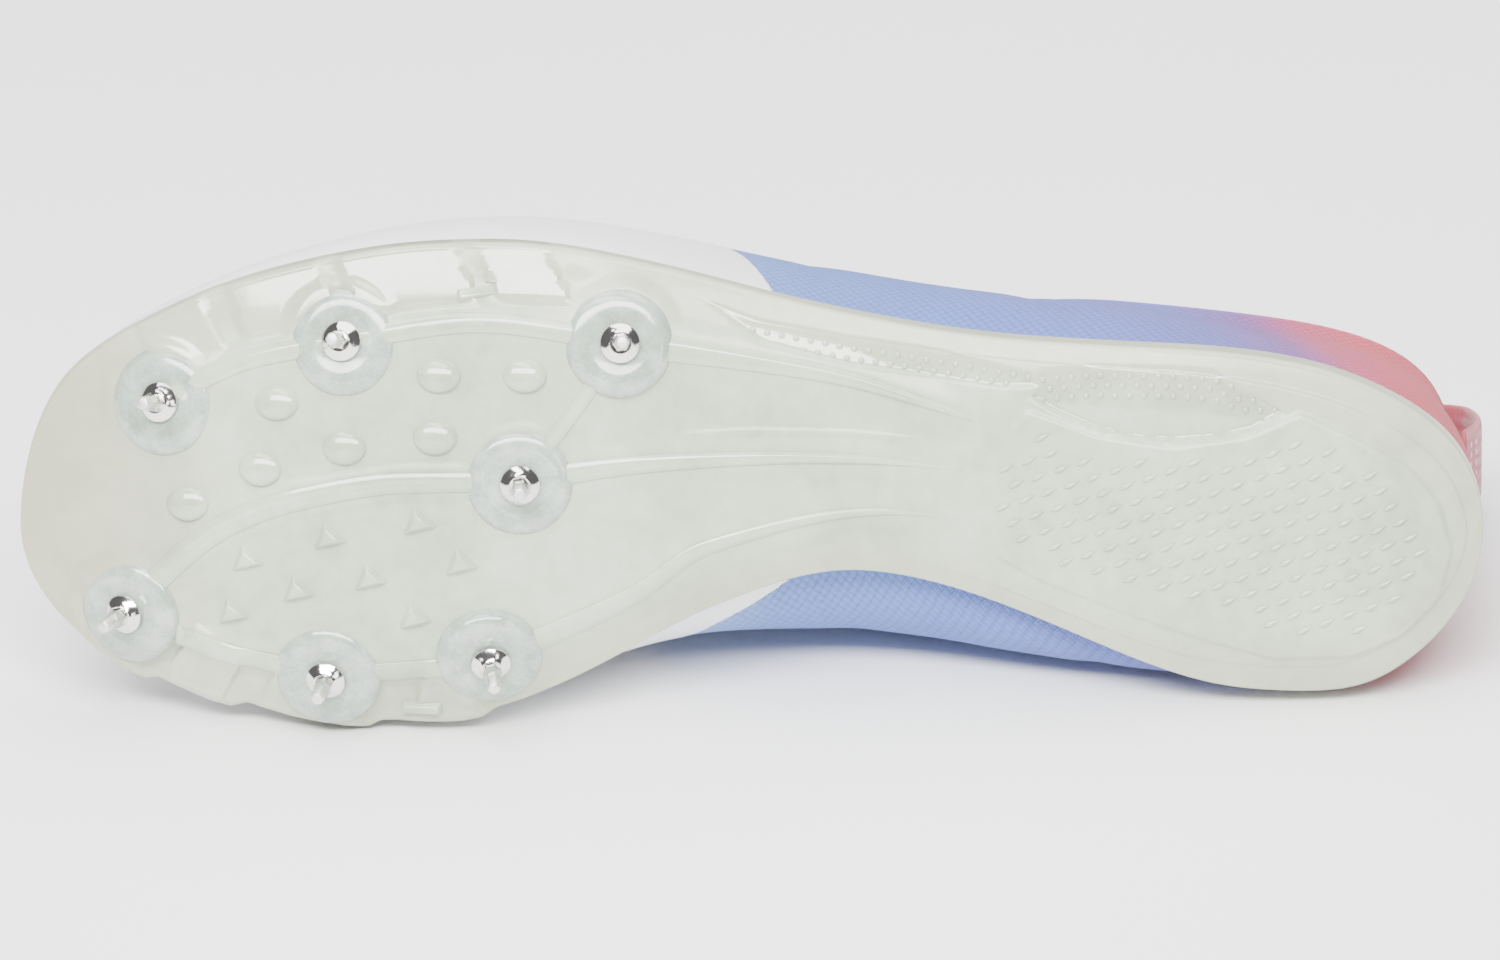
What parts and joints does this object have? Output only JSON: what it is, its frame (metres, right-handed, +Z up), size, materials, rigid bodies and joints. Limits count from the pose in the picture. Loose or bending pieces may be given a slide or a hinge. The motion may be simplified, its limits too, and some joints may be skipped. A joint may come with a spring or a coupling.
{
  "type": "track spike shoe",
  "caption": "Left sprint spike shoe lying on its side: cupped plate with screwed-in steel spikes under a thin hollow upper.",
  "frame": {"origin": "on the floor, under the middle of the box around the shoe", "axes": "+X along the shoe from toe to heel, -Y the way the sole faces, +Z up from the medial side it lies on to the lateral side"},
  "size_m": [0.2808, 0.104, 0.0937],
  "materials": {
    "sole_plate": "milky translucent moulded plastic, glossy",
    "upper": "fine woven mesh, white toe, blue to violet to pink toward the heel",
    "insole": "soft knit face on foam",
    "tongue": "thin padded mesh",
    "lace": "flat woven lace",
    "pull_loop": "woven tape",
    "spikes": "polished steel"
  },
  "bodies": {
    "root": {"sole_plate": "sole_plate", "upper": "upper", "insole": "insole", "tongue": "tongue", "lace": "lace", "pull_loop": "pull_loop", "spike_1": "spikes", "spike_2": "spikes", "spike_3": "spikes", "spike_4": "spikes", "spike_5": "spikes", "spike_6": "spikes", "spike_7": "spikes"}
  },
  "joints": []
}
